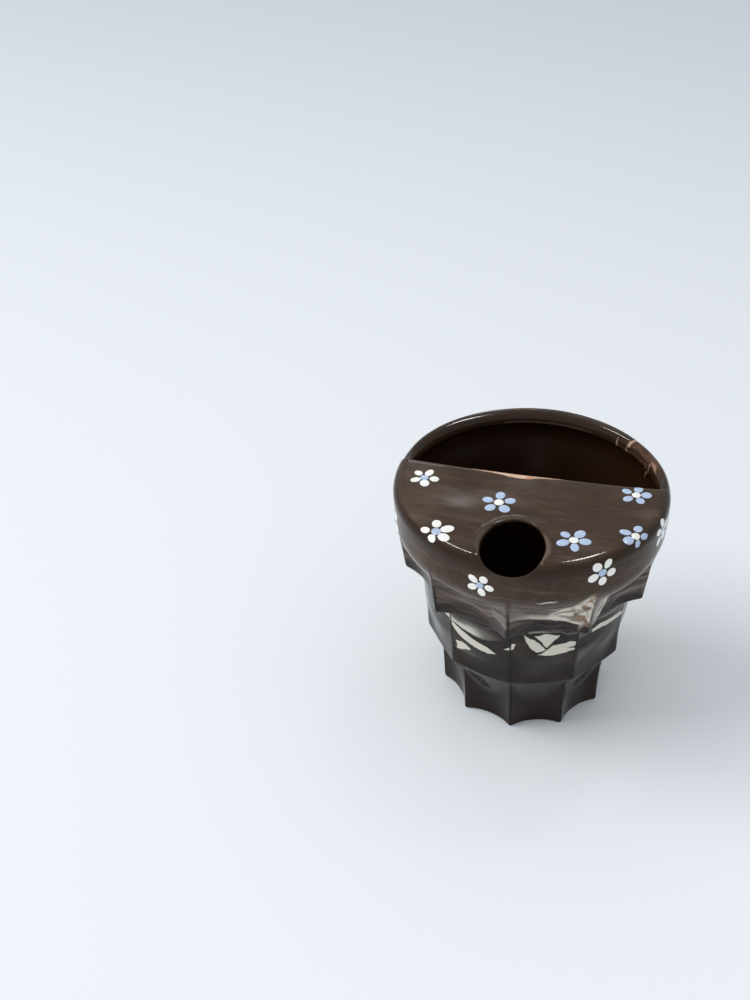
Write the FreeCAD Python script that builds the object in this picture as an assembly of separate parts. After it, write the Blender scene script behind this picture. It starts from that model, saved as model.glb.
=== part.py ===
import FreeCAD, Part
import math
import os

from FreeCAD import Vector

# A slip-cast ceramic to-go cup, modelled as the single piece of clay that it is.
# Three fluted tiers step inwards below a smooth band. A half lid, cast in one with the wall,
# covers the drinking side and carries the sip hole; the other half is open for filling.
# Millimetres, Z up. The origin is on the cup's axis, on the surface it stands on.
# The drinking side faces -Y, and the first ridge lies there, under the sip hole.

# Whole cup
wall = 3.0
floor_thickness = 4.5
floor_corner = 3.0

# Ridges: the same count, the same directions and the same narrow crest in every tier
ridge_count = 10
ridge_crest = 0.7

# Foot tier, the lowest, whose belly rises straight from the flutes.
# A crease is the height above its tier's base where the belly meets the middle of a flute.
foot_height = 25.6
foot_ridge_radius = 28.1
foot_flute_depth = 3.4
foot_ridge_lean = 1.0
foot_crease = 11.6

# Middle tier, whose underside falls towards the axis and whose belly steepens at a soft bend.
# A step is how far a tier's ridges, or the band, stand out beyond those of the tier below.
# The bend lies at the height above the tier's base where the belly has swallowed the ridges.
middle_height = 26.3
middle_step = 5.6
middle_flute_depth = 2.0
middle_ridge_lean = 1.0
middle_crease = 3.4
middle_bend = 12.2
middle_bend_radius = 24.0
middle_hem_drop = 1.2

# Upper tier, whose ridges lean out until they fade into the belly that turns up into the band
upper_height = 22.1
upper_step = 7.4
upper_flute_depth = 5.2
upper_ridge_lean = 2.8
upper_crease = 8.8
upper_bend = 16.8
upper_bend_radius = 12.0

# Band, which flares up to its rounded shoulder
band_height = 10.6
band_step = 3.3
band_flare = 0.3
shoulder_radius = 3.4
shoulder_fall = 0.9
shoulder_reach = 3.2

# Half lid and rim
lid_thickness = 3.2
lid_overhang = 4.5
lid_corner = 2.0
rim_lip = 1.4
edge_round = 1.2

# Sip hole, bored square to the lid's falling front, so it leans outwards
sip_bore = 20.0
sip_center = 33.0
sip_drop = 1.6
sip_lean = 33.0

# Each belly's top stays this far inside the flutes of the tier above
ledge = 0.3

# How far hidden joints between the blocks run into each other
overlap = 1.0

# Places worked out from the sizes above
pitch = 360.0 / ridge_count
middle_base = foot_height
upper_base = middle_base + middle_height
band_base = upper_base + upper_height
height = band_base + band_height
middle_ridge_radius = foot_ridge_radius + middle_step
upper_ridge_radius = middle_ridge_radius + upper_step
band_radius = upper_ridge_radius + band_step
under_lid = height - lid_thickness
crease_radius = band_radius - shoulder_reach
rim_opening = crease_radius - rim_lip
shoulder_top = height - shoulder_fall


def polar(radius, degrees, z):
    """A point at an azimuth measured from -Y towards +X."""
    angle = math.radians(degrees)
    return Vector(radius * math.sin(angle), -radius * math.cos(angle), z)


def turned(*corners):
    """A body turned about Z from (radius, height) corners; a third number rounds its corner."""
    points = [Vector(corner[0], 0, corner[1]) for corner in corners]
    starts = list(points)
    ends = list(points)
    edges = []
    for index, corner in enumerate(corners):
        if len(corner) == 3:
            here = points[index]
            back = (points[index - 1] - here).normalize()
            ahead = (points[(index + 1) % len(points)] - here).normalize()
            half = back.getAngle(ahead) / 2
            inward = (back + ahead).normalize()
            starts[index] = here + back * (corner[2] / math.tan(half))
            ends[index] = here + ahead * (corner[2] / math.tan(half))
            middle = here + inward * (corner[2] / math.sin(half) - corner[2])
            edges.append(Part.Arc(starts[index], middle, ends[index]).toShape())
    for index in range(len(points)):
        edges.append(Part.makeLine(ends[index], starts[(index + 1) % len(points)]))
    outline = Part.Wire(Part.sortEdges(edges)[0])
    return Part.Face(outline).revolve(Vector(0, 0, 0), Vector(0, 0, 1), 360)


def crest_start(ridge):
    """The angle from a flute's middle to the near side of the ridge's crest."""
    return math.radians(pitch / 2) - ridge_crest / (2 * ridge)


class Tier:
    """A fluted block: a leaning cone with a round flute cut between each pair of ridges.

    The flutes lean a little less than the ridges, so that every crest keeps its width.
    """

    def __init__(self, base, tall, ridge, depth, lean, crease):
        self.base = base
        self.top = base + tall
        self.ridge = ridge
        self.flute = ridge - depth
        self.ridge_slope = lean / tall
        self.crease = base + crease
        rise = ridge * math.cos(crest_start(ridge)) - self.flute
        chord = ridge * math.sin(crest_start(ridge))
        self.flute_radius = (rise ** 2 + chord ** 2) / (2 * rise)
        above = ridge + lean
        chord = above * math.sin(crest_start(above))
        rise = self.flute_radius - math.sqrt(self.flute_radius ** 2 - chord ** 2)
        flute_above = above * math.cos(crest_start(above)) - rise
        self.flute_slope = (flute_above - self.flute) / tall

    def ridge_at(self, z):
        return self.ridge + self.ridge_slope * (z - self.base)

    def flute_at(self, z):
        return self.flute + self.flute_slope * (z - self.base)

    def block(self, z_low, z_high):
        stretch = math.hypot(1, self.flute_slope)
        away = self.flute_radius * stretch
        spare = self.flute_radius * self.flute_slope + overlap
        tall = (z_high - z_low + 2 * spare) * stretch
        flutes = []
        for index in range(ridge_count):
            azimuth = (index + 0.5) * pitch
            start = polar(self.flute_at(z_low - spare) + away, azimuth, z_low - spare)
            axis = polar(self.flute_slope, azimuth, 1)
            flutes.append(Part.makeCylinder(self.flute_radius, tall, start, axis))
        cone = Part.makeCone(self.ridge_at(z_low), self.ridge_at(z_high), z_high - z_low,
                             Vector(0, 0, z_low))
        return cone.cut(flutes)


foot = Tier(0, foot_height, foot_ridge_radius, foot_flute_depth, foot_ridge_lean, foot_crease)
middle = Tier(middle_base, middle_height, middle_ridge_radius, middle_flute_depth,
              middle_ridge_lean, middle_crease)
upper = Tier(upper_base, upper_height, upper_ridge_radius, upper_flute_depth,
             upper_ridge_lean, upper_crease)


# Outer form: one turned body for the bellies, band, shoulder and lid, and three fluted blocks
def smooth_body():
    foot_top = middle_ridge_radius - middle_flute_depth - ledge
    middle_top = upper_ridge_radius - upper_flute_depth - ledge
    low = foot.crease - 2 * overlap
    rise = (foot_top - foot.flute_at(foot.crease)) / (foot.top - foot.crease)
    bend = middle_base + middle_bend
    knee = upper_base + upper_bend
    return turned(
        (0, low),
        (foot.flute_at(foot.crease) - 2 * overlap * rise, low),
        (foot_top, middle_base),
        (foot_top, middle.crease - overlap),
        (middle.flute_at(middle.crease), middle.crease),
        (middle.ridge_at(bend), bend, middle_bend_radius),
        (middle_top, upper_base),
        (middle_top, upper.crease - overlap),
        (upper.flute_at(upper.crease), upper.crease),
        (band_radius - band_flare, knee, upper_bend_radius),
        (band_radius, shoulder_top, shoulder_radius),
        (crease_radius, height),
        (0, height),
    )


def middle_block():
    """The middle tier's fluted block, with its underside cut to a shallow cone."""
    low = middle_base - middle_hem_drop
    fall = middle_hem_drop / middle_flute_depth
    inside = middle.flute_at(middle_base) - 3 * overlap
    outside = middle_ridge_radius + 3 * overlap
    skirt = turned(
        (inside, middle_base - (middle_ridge_radius - inside) * fall),
        (outside, middle_base + (outside - middle_ridge_radius) * fall),
        (outside, low - 3 * overlap),
        (inside, low - 3 * overlap),
    )
    return middle.block(low, upper_base + overlap).cut(skirt)


def outer_form():
    return smooth_body().fuse([
        foot.block(0, foot_height),
        middle_block(),
        upper.block(upper_base, band_base),
    ]).removeSplitter()


# Inner form: the hollow that the slip leaves, one wall inside the flutes and the bellies
def hollow():
    foot_wall = foot.flute_at(floor_thickness) - wall
    band_wall = band_radius - band_flare - wall
    return turned(
        (0, floor_thickness),
        (foot_wall - floor_corner, floor_thickness),
        (foot_wall, floor_thickness + floor_corner),
        (foot.flute_at(foot.crease) - wall, foot.crease),
        (middle.flute_at(middle.crease) - wall, middle.crease),
        (upper.flute_at(upper.crease) - wall, upper.crease - overlap),
        (band_wall, upper_base + upper_bend + wall),
        (band_wall, under_lid - wall),
        (band_wall - wall, under_lid),
        (0, under_lid),
    )


# Filling opening: the top inside the rim, beyond the lid's straight edge
def filling_opening():
    tall = lid_thickness + 2 * wall
    disc = Part.makeCylinder(rim_opening, tall, Vector(0, 0, height - tall))
    beyond = Part.makeBox(2 * band_radius, 2 * band_radius, tall,
                          Vector(-band_radius, lid_overhang, height - tall))
    opening = disc.common(beyond)
    upright = [edge for edge in opening.Edges
               if edge.BoundBox.ZLength > tall / 2 and abs(edge.CenterOfMass.x) > lid_corner]
    return opening.makeFillet(lid_corner, upright)


def round_opening(body):
    """Soften the lid's straight edge and the rim's inner edge, as wet sponging does."""
    loop = [edge for edge in body.Edges
            if edge.BoundBox.ZMin > height - edge_round / 2
            and edge.BoundBox.YMin > lid_overhang - edge_round / 2
            and edge.BoundBox.YMax < crease_radius - rim_lip / 2]
    return body.makeFillet(edge_round, loop)


# Sip hole: a round bore that leans out, centred on the lid's falling front
def sip_cutter():
    lean = math.radians(sip_lean)
    axis = Vector(0, -math.sin(lean), math.cos(lean))
    reach = 4 * lid_thickness
    start = Vector(0, -sip_center, height - sip_drop) - axis * (reach / 2)
    return Part.makeCylinder(sip_bore / 2, reach, start, axis)


cup = outer_form()
cup = cup.cut(hollow()).cut(filling_opening())
cup = round_opening(cup)
cup = cup.cut(sip_cutter())

os.makedirs("parts", exist_ok=True)
cup.exportStep("parts/cup.step")
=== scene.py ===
# %% [markdown]
# A slip-cast to-go cup. It is one piece of fired clay: three fluted tiers, a smooth band, and half
# a lid with a sip hole. The frame holds its plain solid. This lesson dresses that solid with a
# softer, glazed copy and with hand-painted flowers. All sizes are typed in millimetres, as a potter
# would measure them, and are turned to metres when a mesh is made.

# %% Load the frame
import math

import bmesh
import bpy
import numpy as np
from mathutils import Matrix, Vector, geometry
from mathutils.bvhtree import BVHTree


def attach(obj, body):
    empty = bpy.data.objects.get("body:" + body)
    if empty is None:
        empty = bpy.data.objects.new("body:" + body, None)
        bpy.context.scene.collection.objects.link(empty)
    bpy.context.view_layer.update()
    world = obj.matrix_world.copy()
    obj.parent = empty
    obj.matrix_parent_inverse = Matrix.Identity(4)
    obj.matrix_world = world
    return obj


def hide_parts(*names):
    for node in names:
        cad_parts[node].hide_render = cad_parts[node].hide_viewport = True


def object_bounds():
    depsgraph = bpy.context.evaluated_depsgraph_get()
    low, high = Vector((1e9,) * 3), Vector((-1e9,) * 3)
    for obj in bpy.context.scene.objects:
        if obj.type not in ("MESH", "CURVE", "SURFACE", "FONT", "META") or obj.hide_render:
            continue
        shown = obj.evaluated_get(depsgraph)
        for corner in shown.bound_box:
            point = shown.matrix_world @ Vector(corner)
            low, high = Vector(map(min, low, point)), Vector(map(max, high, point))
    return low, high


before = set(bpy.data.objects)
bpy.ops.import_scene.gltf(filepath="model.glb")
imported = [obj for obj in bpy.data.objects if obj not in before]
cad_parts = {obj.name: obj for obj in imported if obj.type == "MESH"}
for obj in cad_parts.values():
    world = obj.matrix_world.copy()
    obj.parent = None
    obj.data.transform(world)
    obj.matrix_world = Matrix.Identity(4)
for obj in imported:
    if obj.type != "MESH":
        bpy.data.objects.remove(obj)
cad_low, cad_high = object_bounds()
MM = 0.001
print("frame box in mm:", [round(v / MM, 1) for v in (*cad_low, *cad_high)])

# %% [markdown]
# The sizes follow the solid. Each tier is a leaning star: ridges stand out, and between two of them
# runs a hollow flute. A tier is typed as its two heights, the radius of its ridges, the depth of its
# flutes and how far its ridges lean out on the way up.

# %% Sizes of the cup
RIDGES = 10
PITCH = 2 * math.pi / RIDGES
CREST = 0.7
HEIGHT = float(cad_high.z / MM)
FOOT = dict(base=0.0, top=25.6, ridge=28.1, depth=3.4, lean=1.0)
MIDDLE = dict(base=25.6, top=51.9, ridge=33.7, depth=2.0, lean=1.0)
UPPER = dict(base=51.9, top=74.0, ridge=41.1, depth=5.2, lean=2.8)
MIDDLE_HEM_DROP = 1.2
BAND = 44.4
CREASE = 41.2
RIM_OPENING = 39.8
LID_EDGE = 3.9
LID_SAG = 1.3
UNDER_LID = HEIGHT - 3.2
FLOOR = 4.5
print("height of the cup:", round(HEIGHT, 1))

# %% [markdown]
# A mould maker cuts each flute with a round cutter, so a section through a tier is a star of arcs.
# Where two surfaces meet, glaze fills the corner between them. A soft maximum of two radii gives that
# filled corner with one line of maths, which is easier to steer than a bevel on a finished mesh.


# %% Star-shaped sections
def smooth_max(a, b, soft):
    """The larger of two radii, with the corner between them filled as glaze fills it."""
    near = np.maximum(soft - np.abs(a - b), 0) / soft
    return np.maximum(a, b) + near * near * soft / 4


def smooth_min(a, b, soft):
    return -smooth_max(-a, -b, soft)


def flute_shape(tier):
    """The flute's radius, and how much the flute leans, as a cutter would be set."""
    def crest_start(ridge):
        return PITCH / 2 - CREST / (2 * ridge)
    low = tier["ridge"]
    rise = low * math.cos(crest_start(low)) - (low - tier["depth"])
    chord = low * math.sin(crest_start(low))
    radius = (rise ** 2 + chord ** 2) / (2 * rise)
    high = low + tier["lean"]
    chord = high * math.sin(crest_start(high))
    rise = radius - math.sqrt(radius ** 2 - chord ** 2)
    above = high * math.cos(crest_start(high)) - rise
    return radius, (above - low + tier["depth"]) / (tier["top"] - tier["base"])


for tier in (FOOT, MIDDLE, UPPER):
    tier["flute"], tier["flute_lean"] = flute_shape(tier)
    print("flute radius", round(tier["flute"], 1))


def star(tier, angle, z):
    """Radius of a fluted tier at an azimuth and height."""
    up = z - tier["base"]
    ridge = tier["ridge"] + tier["lean"] / (tier["top"] - tier["base"]) * up
    center = tier["ridge"] - tier["depth"] + tier["flute_lean"] * up + tier["flute"]
    away = (angle % PITCH) - PITCH / 2
    inside = np.maximum(tier["flute"] ** 2 - (center * np.sin(away)) ** 2, 0)
    hollow = center * np.cos(away) - np.sqrt(inside)
    return smooth_min(hollow, ridge + 0 * hollow, 0.5)


# %% [markdown]
# Above the flutes of each tier a round belly swells out and swallows the ridges. It is turned, and so
# are the shoulder and the hollow. A turned profile is a line of corners. Rounding a corner with an
# arc, and then measuring along the line, gives a radius and a height for every distance walked, which
# is what the later steps need.


# %% Turned profiles
def rounded(corners, step=0.1):
    """Dense points along (radius, height) corners; a third number rounds its corner."""
    points = [np.array(c[:2], float) for c in corners]
    line = [points[0]]
    for i in range(1, len(corners)):
        here = points[i]
        if len(corners[i]) == 3 and i + 1 < len(corners):
            back = (points[i - 1] - here) / np.linalg.norm(points[i - 1] - here)
            ahead = (points[i + 1] - here) / np.linalg.norm(points[i + 1] - here)
            half = math.acos(np.clip(back @ ahead, -1, 1)) / 2
            radius = corners[i][2]
            middle = (back + ahead) / np.linalg.norm(back + ahead)
            center = here + middle * radius / math.sin(half)
            start = here + back * radius / math.tan(half)
            turn = math.pi - 2 * half
            side = np.sign(back[0] * ahead[1] - back[1] * ahead[0])
            count = max(3, int(radius * turn / step))
            for share in np.linspace(0, -side * turn, count):
                spoke = start - center
                c, s = math.cos(share), math.sin(share)
                line.append(center + [c * spoke[0] - s * spoke[1], s * spoke[0] + c * spoke[1]])
        else:
            line.append(here)
    line = np.array(line)
    walked = np.concatenate([[0], np.cumsum(np.linalg.norm(np.diff(line, axis=0), axis=1))])
    even = np.arange(0, walked[-1], step)
    even = np.append(even, walked[-1])
    return even, np.column_stack([np.interp(even, walked, line[:, k]) for k in (0, 1)])


FOOT_BELLY = rounded([(24.3, 9.6), (31.4, 25.6)])[1]
MIDDLE_BELLY = rounded([(31.3, 27.0), (34.18, 37.8, 24.0), (35.7, 53.0)])[1]
UPPER_BELLY = rounded([(36.2, 59.8), (44.1, 68.7, 12.0), (44.32, 79.0)])[1]
SHELL_WALK, SHELL = rounded([(0, HEIGHT), (CREASE, HEIGHT, 2.5), (BAND, HEIGHT - 0.9, 3.4),
                             (44.25, 76.5)])


def belly(line, z):
    return np.interp(z, line[:, 1], line[:, 0])


print("shell walk in mm:", round(SHELL_WALK[-1], 2))

# %% [markdown]
# The outer wall is a grid: columns run round the cup, closest together at the ridges, and rows run
# up it. Under each tier the rows turn outwards along the hem, so one grid holds the steps as well.

# %% Columns and rows of the wall
PER_PANEL = 36
panel_share = np.arange(PER_PANEL) / PER_PANEL
panel_share = panel_share - 0.75 * np.sin(2 * math.pi * panel_share) / (2 * math.pi)
ANGLES = ((np.arange(RIDGES)[:, None] + panel_share[None, :]) * PITCH).ravel()


def row_shares(count):
    ends = np.array([0.0, 0.007, 0.018, 0.032])
    return np.concatenate([ends, np.linspace(0.05, 0.95, count), 1 - ends[::-1]])


def wall_rows(z_low, z_high, count, radius_at):
    return [(radius_at(z), z) for z in
            (z_low + (z_high - z_low) * share for share in row_shares(count))]


def hem_rows(inner, outer):
    """Rows from under a tier out to its lower edge."""
    return [(inner[0] + (outer[0] - inner[0]) * share, inner[1] + (outer[1] - inner[1]) * share)
            for share in (0.2, 0.45, 0.7, 0.9)]


def foot_radius(z):
    return smooth_max(star(FOOT, ANGLES, z), belly(FOOT_BELLY, z), 1.2)


def middle_radius(z):
    return smooth_max(star(MIDDLE, ANGLES, z), belly(MIDDLE_BELLY, z), 1.2)


def upper_radius(z):
    fading = star(UPPER, ANGLES, z) - 0.6 * np.maximum(z - 72.0, 0)
    return smooth_max(fading, belly(UPPER_BELLY, z), 1.0)


print("columns round the wall:", len(ANGLES))

# %% [markdown]
# The rows start near the middle of the foot, climb the first tier, go out along the next hem, and so
# on up to the shoulder. Rows beside a hem are then averaged with their neighbours a few times, which
# rounds it as a potter's sponge does.

# %% Outer wall
FOOT_EDGE_ROUND = 0.6
FOOT_TOP_ROW = 23.7
SPONGE_STROKES = 5
flat = np.zeros_like(ANGLES)
foot_edge = star(FOOT, ANGLES, flat)
rows = [(foot_edge * share, flat) for share in (0.2, 0.4, 0.6, 0.78, 0.92)]
rows += [(foot_edge - FOOT_EDGE_ROUND, flat), (foot_edge - 0.18, flat + 0.15)]
rows += wall_rows(flat + FOOT_EDGE_ROUND, flat + FOOT_TOP_ROW, 26, foot_radius)
hem_middle = len(rows)
middle_edge = star(MIDDLE, ANGLES, flat + MIDDLE["base"])
fall = MIDDLE_HEM_DROP / MIDDLE["depth"]
middle_low = MIDDLE["base"] - (MIDDLE["ridge"] - middle_edge) * fall
rows += hem_rows(rows[-1], (middle_edge, middle_low))
rows += wall_rows(middle_low, flat + UPPER["base"], 28, middle_radius)
upper_edge = star(UPPER, ANGLES, flat + UPPER["base"])
hem_upper = len(rows)
rows += hem_rows(rows[-1], (upper_edge, flat + UPPER["base"]))
rows += wall_rows(flat + UPPER["base"], flat + SHELL[-1, 1], 30, upper_radius)
WALL_GRID = np.array(rows).transpose(0, 2, 1)

for _ in range(SPONGE_STROKES):
    eased = WALL_GRID.copy()
    for start in (hem_middle, hem_upper):
        near = np.arange(start - 3, start + 8)
        eased[near] += 0.5 * ((WALL_GRID[near - 1] + WALL_GRID[near + 1]) / 2 - WALL_GRID[near])
    WALL_GRID = eased
wall_xyz = np.stack([WALL_GRID[..., 0] * np.sin(ANGLES), -WALL_GRID[..., 0] * np.cos(ANGLES),
                     WALL_GRID[..., 1]], axis=-1)
print("outer wall:", wall_xyz.shape[0], "rows of", wall_xyz.shape[1])

# %% [markdown]
# The top can't be a grid, because the filling opening and the sip hole break it. So it is unrolled
# flat, like a skin peeled from the axis outwards over the shoulder, filled with triangles between
# its outer ring and the two holes, and laid back on the profile. A Boolean cut would make the same
# holes, but it leaves long thin faces beside them, and glossy glaze shows every one.


# %% Skins, unrolled and laid back
def lay(skin, walk, profile):
    """Flat skin points, laid on a turned profile."""
    away = np.maximum(np.hypot(skin[:, 0], skin[:, 1]), 1e-9)
    radius = np.interp(away, walk, profile[:, 0])
    return np.column_stack([skin * (radius / away)[:, None], np.interp(away, walk, profile[:, 1])])


def peel(points, walk, profile):
    """Points on a turned profile, laid out flat."""
    radius = np.hypot(points[:, 0], points[:, 1])
    gap = ((radius[:, None] - profile[None, :, 0]) ** 2
           + (points[:, 2:3] - profile[None, :, 1]) ** 2)
    return points[:, :2] * (walk[gap.argmin(axis=1)] / radius)[:, None]


def within(loop, points):
    """True for the points that lie inside a closed loop."""
    a, b = loop, np.roll(loop, -1, axis=0)
    above = (a[None, :, 1] > points[:, 1:2]) != (b[None, :, 1] > points[:, 1:2])
    drop = np.where(b[:, 1] == a[:, 1], 1e-12, b[:, 1] - a[:, 1])
    cross = a[:, 0] + (points[:, 1:2] - a[:, 1]) * (b[:, 0] - a[:, 0]) / drop
    return (above & (points[:, :1] < cross)).sum(axis=1) % 2 == 1


# %% [markdown]
# Blender's own Delaunay function does the filling. It joins loose spots into well-shaped triangles
# and keeps the loops as edges. The spots stand in a honeycomb, the most even way to fill a surface.


# %% Fill between loops
def fill(loops, spots, gap):
    """Triangles between the first loop and the others; spots nearer than gap to a loop are
    dropped. Returns the points used and the triangles."""
    keep = within(loops[0], spots)
    for hole in loops[1:]:
        keep &= ~within(hole, spots)
    spots = spots[keep]
    rim = np.vstack(loops)
    far = np.array([((rim - spot) ** 2).sum(axis=1).min() > gap * gap for spot in spots])
    points = np.vstack([rim, spots[far]])
    edges, start = [], 0
    for loop in loops:
        edges += [(start + i, start + (i + 1) % len(loop)) for i in range(len(loop))]
        start += len(loop)
    made = geometry.delaunay_2d_cdt([Vector(p) for p in points], edges, [], 0, 1e-7)
    origin = [ids[0] for ids in made[3]]
    triangles = np.array([[origin[i] for i in face] for face in made[2]])
    middle = points[triangles].mean(axis=1)
    keep = within(loops[0], middle)
    for hole in loops[1:]:
        keep &= ~within(hole, middle)
    return points, triangles[keep]


def honeycomb(radius, step):
    across = np.arange(-radius, radius, step)
    down = np.arange(-radius, radius, step * 0.866)
    x, y = np.meshgrid(across, down)
    x = x + step / 2 * (np.arange(len(down))[:, None] % 2)
    spots = np.column_stack([x.ravel(), y.ravel()])
    return spots[np.hypot(*spots.T) < radius]


# %% [markdown]
# The filling opening is a D: an arc inside the rim, the lid's straight edge, and two round corners.
# Each of its points keeps its outward direction, so wider and narrower copies match point by point.

# %% Outline of the filling opening
OPENING_CORNER = 0.6
OPENING_HALF_WIDTH = 40.5
OPENING_OVAL = 0.962
corner_x = math.sqrt((RIM_OPENING - OPENING_CORNER) ** 2 - (LID_EDGE + OPENING_CORNER) ** 2)
corner_y = LID_EDGE + OPENING_CORNER
tilt = math.atan2(corner_y, corner_x)
d_spots, d_facing = [], []


def arc(center_x, center_y, radius, angles):
    for angle in angles:
        facing = (math.cos(angle), math.sin(angle))
        d_facing.append(facing)
        d_spots.append((center_x + radius * facing[0], center_y + radius * facing[1]))


arc(0, 0, RIM_OPENING, np.linspace(tilt, math.pi - tilt, 150))
arc(-corner_x, corner_y, OPENING_CORNER, np.linspace(math.pi - tilt, 1.5 * math.pi, 10)[1:])
for x in np.linspace(-corner_x, corner_x, 92)[1:-1]:
    d_facing.append((0.0, -1.0))
    d_spots.append((x, LID_EDGE))
arc(corner_x, corner_y, OPENING_CORNER, np.linspace(-0.5 * math.pi, tilt, 10)[:-1])
D_SPOTS, D_FACING = np.array(d_spots), np.array(d_facing)

# The rim is a little oval, and the lid's edge sags
beyond_edge = D_SPOTS[:, 1] - LID_EDGE
D_SPOTS[:, 0] *= OPENING_HALF_WIDTH / RIM_OPENING
D_SPOTS[:, 1] = np.where(beyond_edge > 0, LID_EDGE + beyond_edge * OPENING_OVAL, D_SPOTS[:, 1])
sagging = (D_SPOTS[:, 1] < LID_EDGE + 1) * (1 - (D_SPOTS[:, 0] / corner_x) ** 2)
D_SPOTS[:, 1] -= LID_SAG * np.maximum(sagging, 0)
print("filling opening:", np.ptp(D_SPOTS, axis=0).round(1), "from", len(D_SPOTS), "points")

# %% [markdown]
# The hollow is a second turned profile. The sip hole is a slanted bore, so each point of its edge
# is found by walking along the bore until it leaves the clay.

# %% Hollow and sip hole
HOLLOW_WALK, HOLLOW = rounded([
    (0, UNDER_LID), (38.6, UNDER_LID, 1.5), (41.1, UNDER_LID - 2.5, 1.5), (41.1, 75.2, 12.0),
    (33.2, 57.0, 30.0), (28.7, 28.0, 40.0), (22.0, 11.0, 12.0), (21.9, FLOOR, 4.0), (0, FLOOR)])
SIP_RADIUS, SIP_RADIUS_ALONG = 9.7, 10.4
SIP_LEAN = math.radians(33)
SIP_AXIS = np.array([0, -math.sin(SIP_LEAN), math.cos(SIP_LEAN)])
SIP_ACROSS = np.array([0, math.cos(SIP_LEAN), math.sin(SIP_LEAN)])
SIP_CENTER = np.array([0, -33.3, HEIGHT - 1.65])
SIP_TURNS = np.linspace(0, 2 * math.pi, 112, endpoint=False)

# The front half of the hole was cut a little square, which a power just above 2 gives
SQUARENESS = 2.4
squared = (np.abs(np.cos(SIP_TURNS)) ** SQUARENESS + np.abs(np.sin(SIP_TURNS)) ** SQUARENESS)
SIP_SQUARE = np.where(np.sin(SIP_TURNS) < 0, squared ** (-1 / SQUARENESS), 1.0)


def bore_line(along):
    across_bore = SIP_RADIUS * SIP_SQUARE * np.cos(SIP_TURNS)
    along_bore = SIP_RADIUS_ALONG * SIP_SQUARE * np.sin(SIP_TURNS)
    spoke = across_bore[:, None] * np.array([1.0, 0, 0]) + along_bore[:, None] * SIP_ACROSS
    return SIP_CENTER + spoke + np.asarray(along)[:, None] * SIP_AXIS


print("sip hole:", 2 * SIP_RADIUS, "by", 2 * SIP_RADIUS_ALONG, "mm")

# %% [markdown]
# The bore meets the outside along a line that bends over the shoulder, and the hollow along another.
# Halving a length forty times finds each crossing to far less than a hair's width, with no Boolean.


# %% Where the bore leaves the clay
def in_cup(points):
    """True below the shell; the last stretch of its profile is upright and left out."""
    radius = np.hypot(points[:, 0], points[:, 1])
    top = SHELL[:-60]
    return (radius < SHELL[:, 0].max()) & (points[:, 2] < np.interp(radius, top[:, 0], top[:, 1]))


def in_hollow(points):
    radius = np.hypot(points[:, 0], points[:, 1])
    limit = np.interp(points[:, 2], HOLLOW[::-1, 1], HOLLOW[::-1, 0])
    return (points[:, 2] < UNDER_LID) & (radius < limit)


def cross_along(test):
    """Where the bore's lines go from inside to outside a region."""
    low, high = np.full(len(SIP_TURNS), -14.0), np.full(len(SIP_TURNS), 9.0)
    for _ in range(40):
        half = (low + high) / 2
        inside = test(bore_line(half))
        low, high = np.where(inside, half, low), np.where(inside, high, half)
    return low


edge_along = cross_along(in_cup)
for _ in range(30):
    edge_along = (np.roll(edge_along, 1) + 2 * edge_along + np.roll(edge_along, -1)) / 4
floor_along = cross_along(in_hollow)
SIP_EDGE = bore_line(edge_along)
print("sip hole edge from", SIP_EDGE.min(axis=0).round(1), "to", SIP_EDGE.max(axis=0).round(1))

# %% [markdown]
# Now the parts join into one closed skin, as the real cup has. Rings of equal count are bridged with
# four-sided faces. First come the base and the outer wall.

# %% Base and wall of the skin
points_all, faces_all = [], []


def add(points):
    start = sum(len(p) for p in points_all)
    points_all.append(np.asarray(points, float))
    return np.arange(start, start + len(points))


def bridge(ring_a, ring_b):
    after_a, after_b = np.roll(ring_a, -1), np.roll(ring_b, -1)
    faces_all.extend(zip(ring_a.tolist(), after_a.tolist(), after_b.tolist(), ring_b.tolist()))


def bridge_all(rings):
    for low_ring, high_ring in zip(rings, rings[1:]):
        bridge(low_ring, high_ring)


def close_ring(ring, z):
    """A fan of triangles from a ring to a point on the axis."""
    center = add([[0, 0, z]])[0]
    faces_all.extend((int(b), int(a), int(center)) for a, b in zip(ring, np.roll(ring, -1)))


wall_rings = [add(row) for row in wall_xyz]
bridge_all(wall_rings)
close_ring(wall_rings[0], 0)
print("base and wall:", len(faces_all), "faces")

# %% [markdown]
# The top is filled between the wall's last ring and two loops that stand a little off the holes,
# which leaves room for soft lips. Spots lie in rings round the shoulder, in a honeycomb on the lid,
# and in four close rows where the sponged step will cross the rim.

# %% Loops and spots of the top
facing_out = np.column_stack([np.sin(ANGLES), -np.cos(ANGLES)])
outer_loop = facing_out * SHELL_WALK[-1]
LID_LIP, RIM_LIP_MORE, SIP_LIP = 1.7, 0.8, 2.2
on_rim = np.clip((D_SPOTS[:, 1] - LID_EDGE) / 9, 0, 1)
d_loop = D_SPOTS + D_FACING * (LID_LIP + RIM_LIP_MORE * on_rim)[:, None]
sip_flat = peel(SIP_EDGE, SHELL_WALK, SHELL)
along_loop = np.roll(sip_flat, -1, axis=0) - np.roll(sip_flat, 1, axis=0)
sip_facing = np.column_stack([along_loop[:, 1], -along_loop[:, 0]])
sip_facing /= np.linalg.norm(sip_facing, axis=1)[:, None]
sip_loop = sip_flat + sip_facing * SIP_LIP
shoulder_spots = np.vstack([facing_out * walk for walk in
                            np.arange(SHELL_WALK[-1] - 0.6, 38.0, -0.6)])


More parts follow.
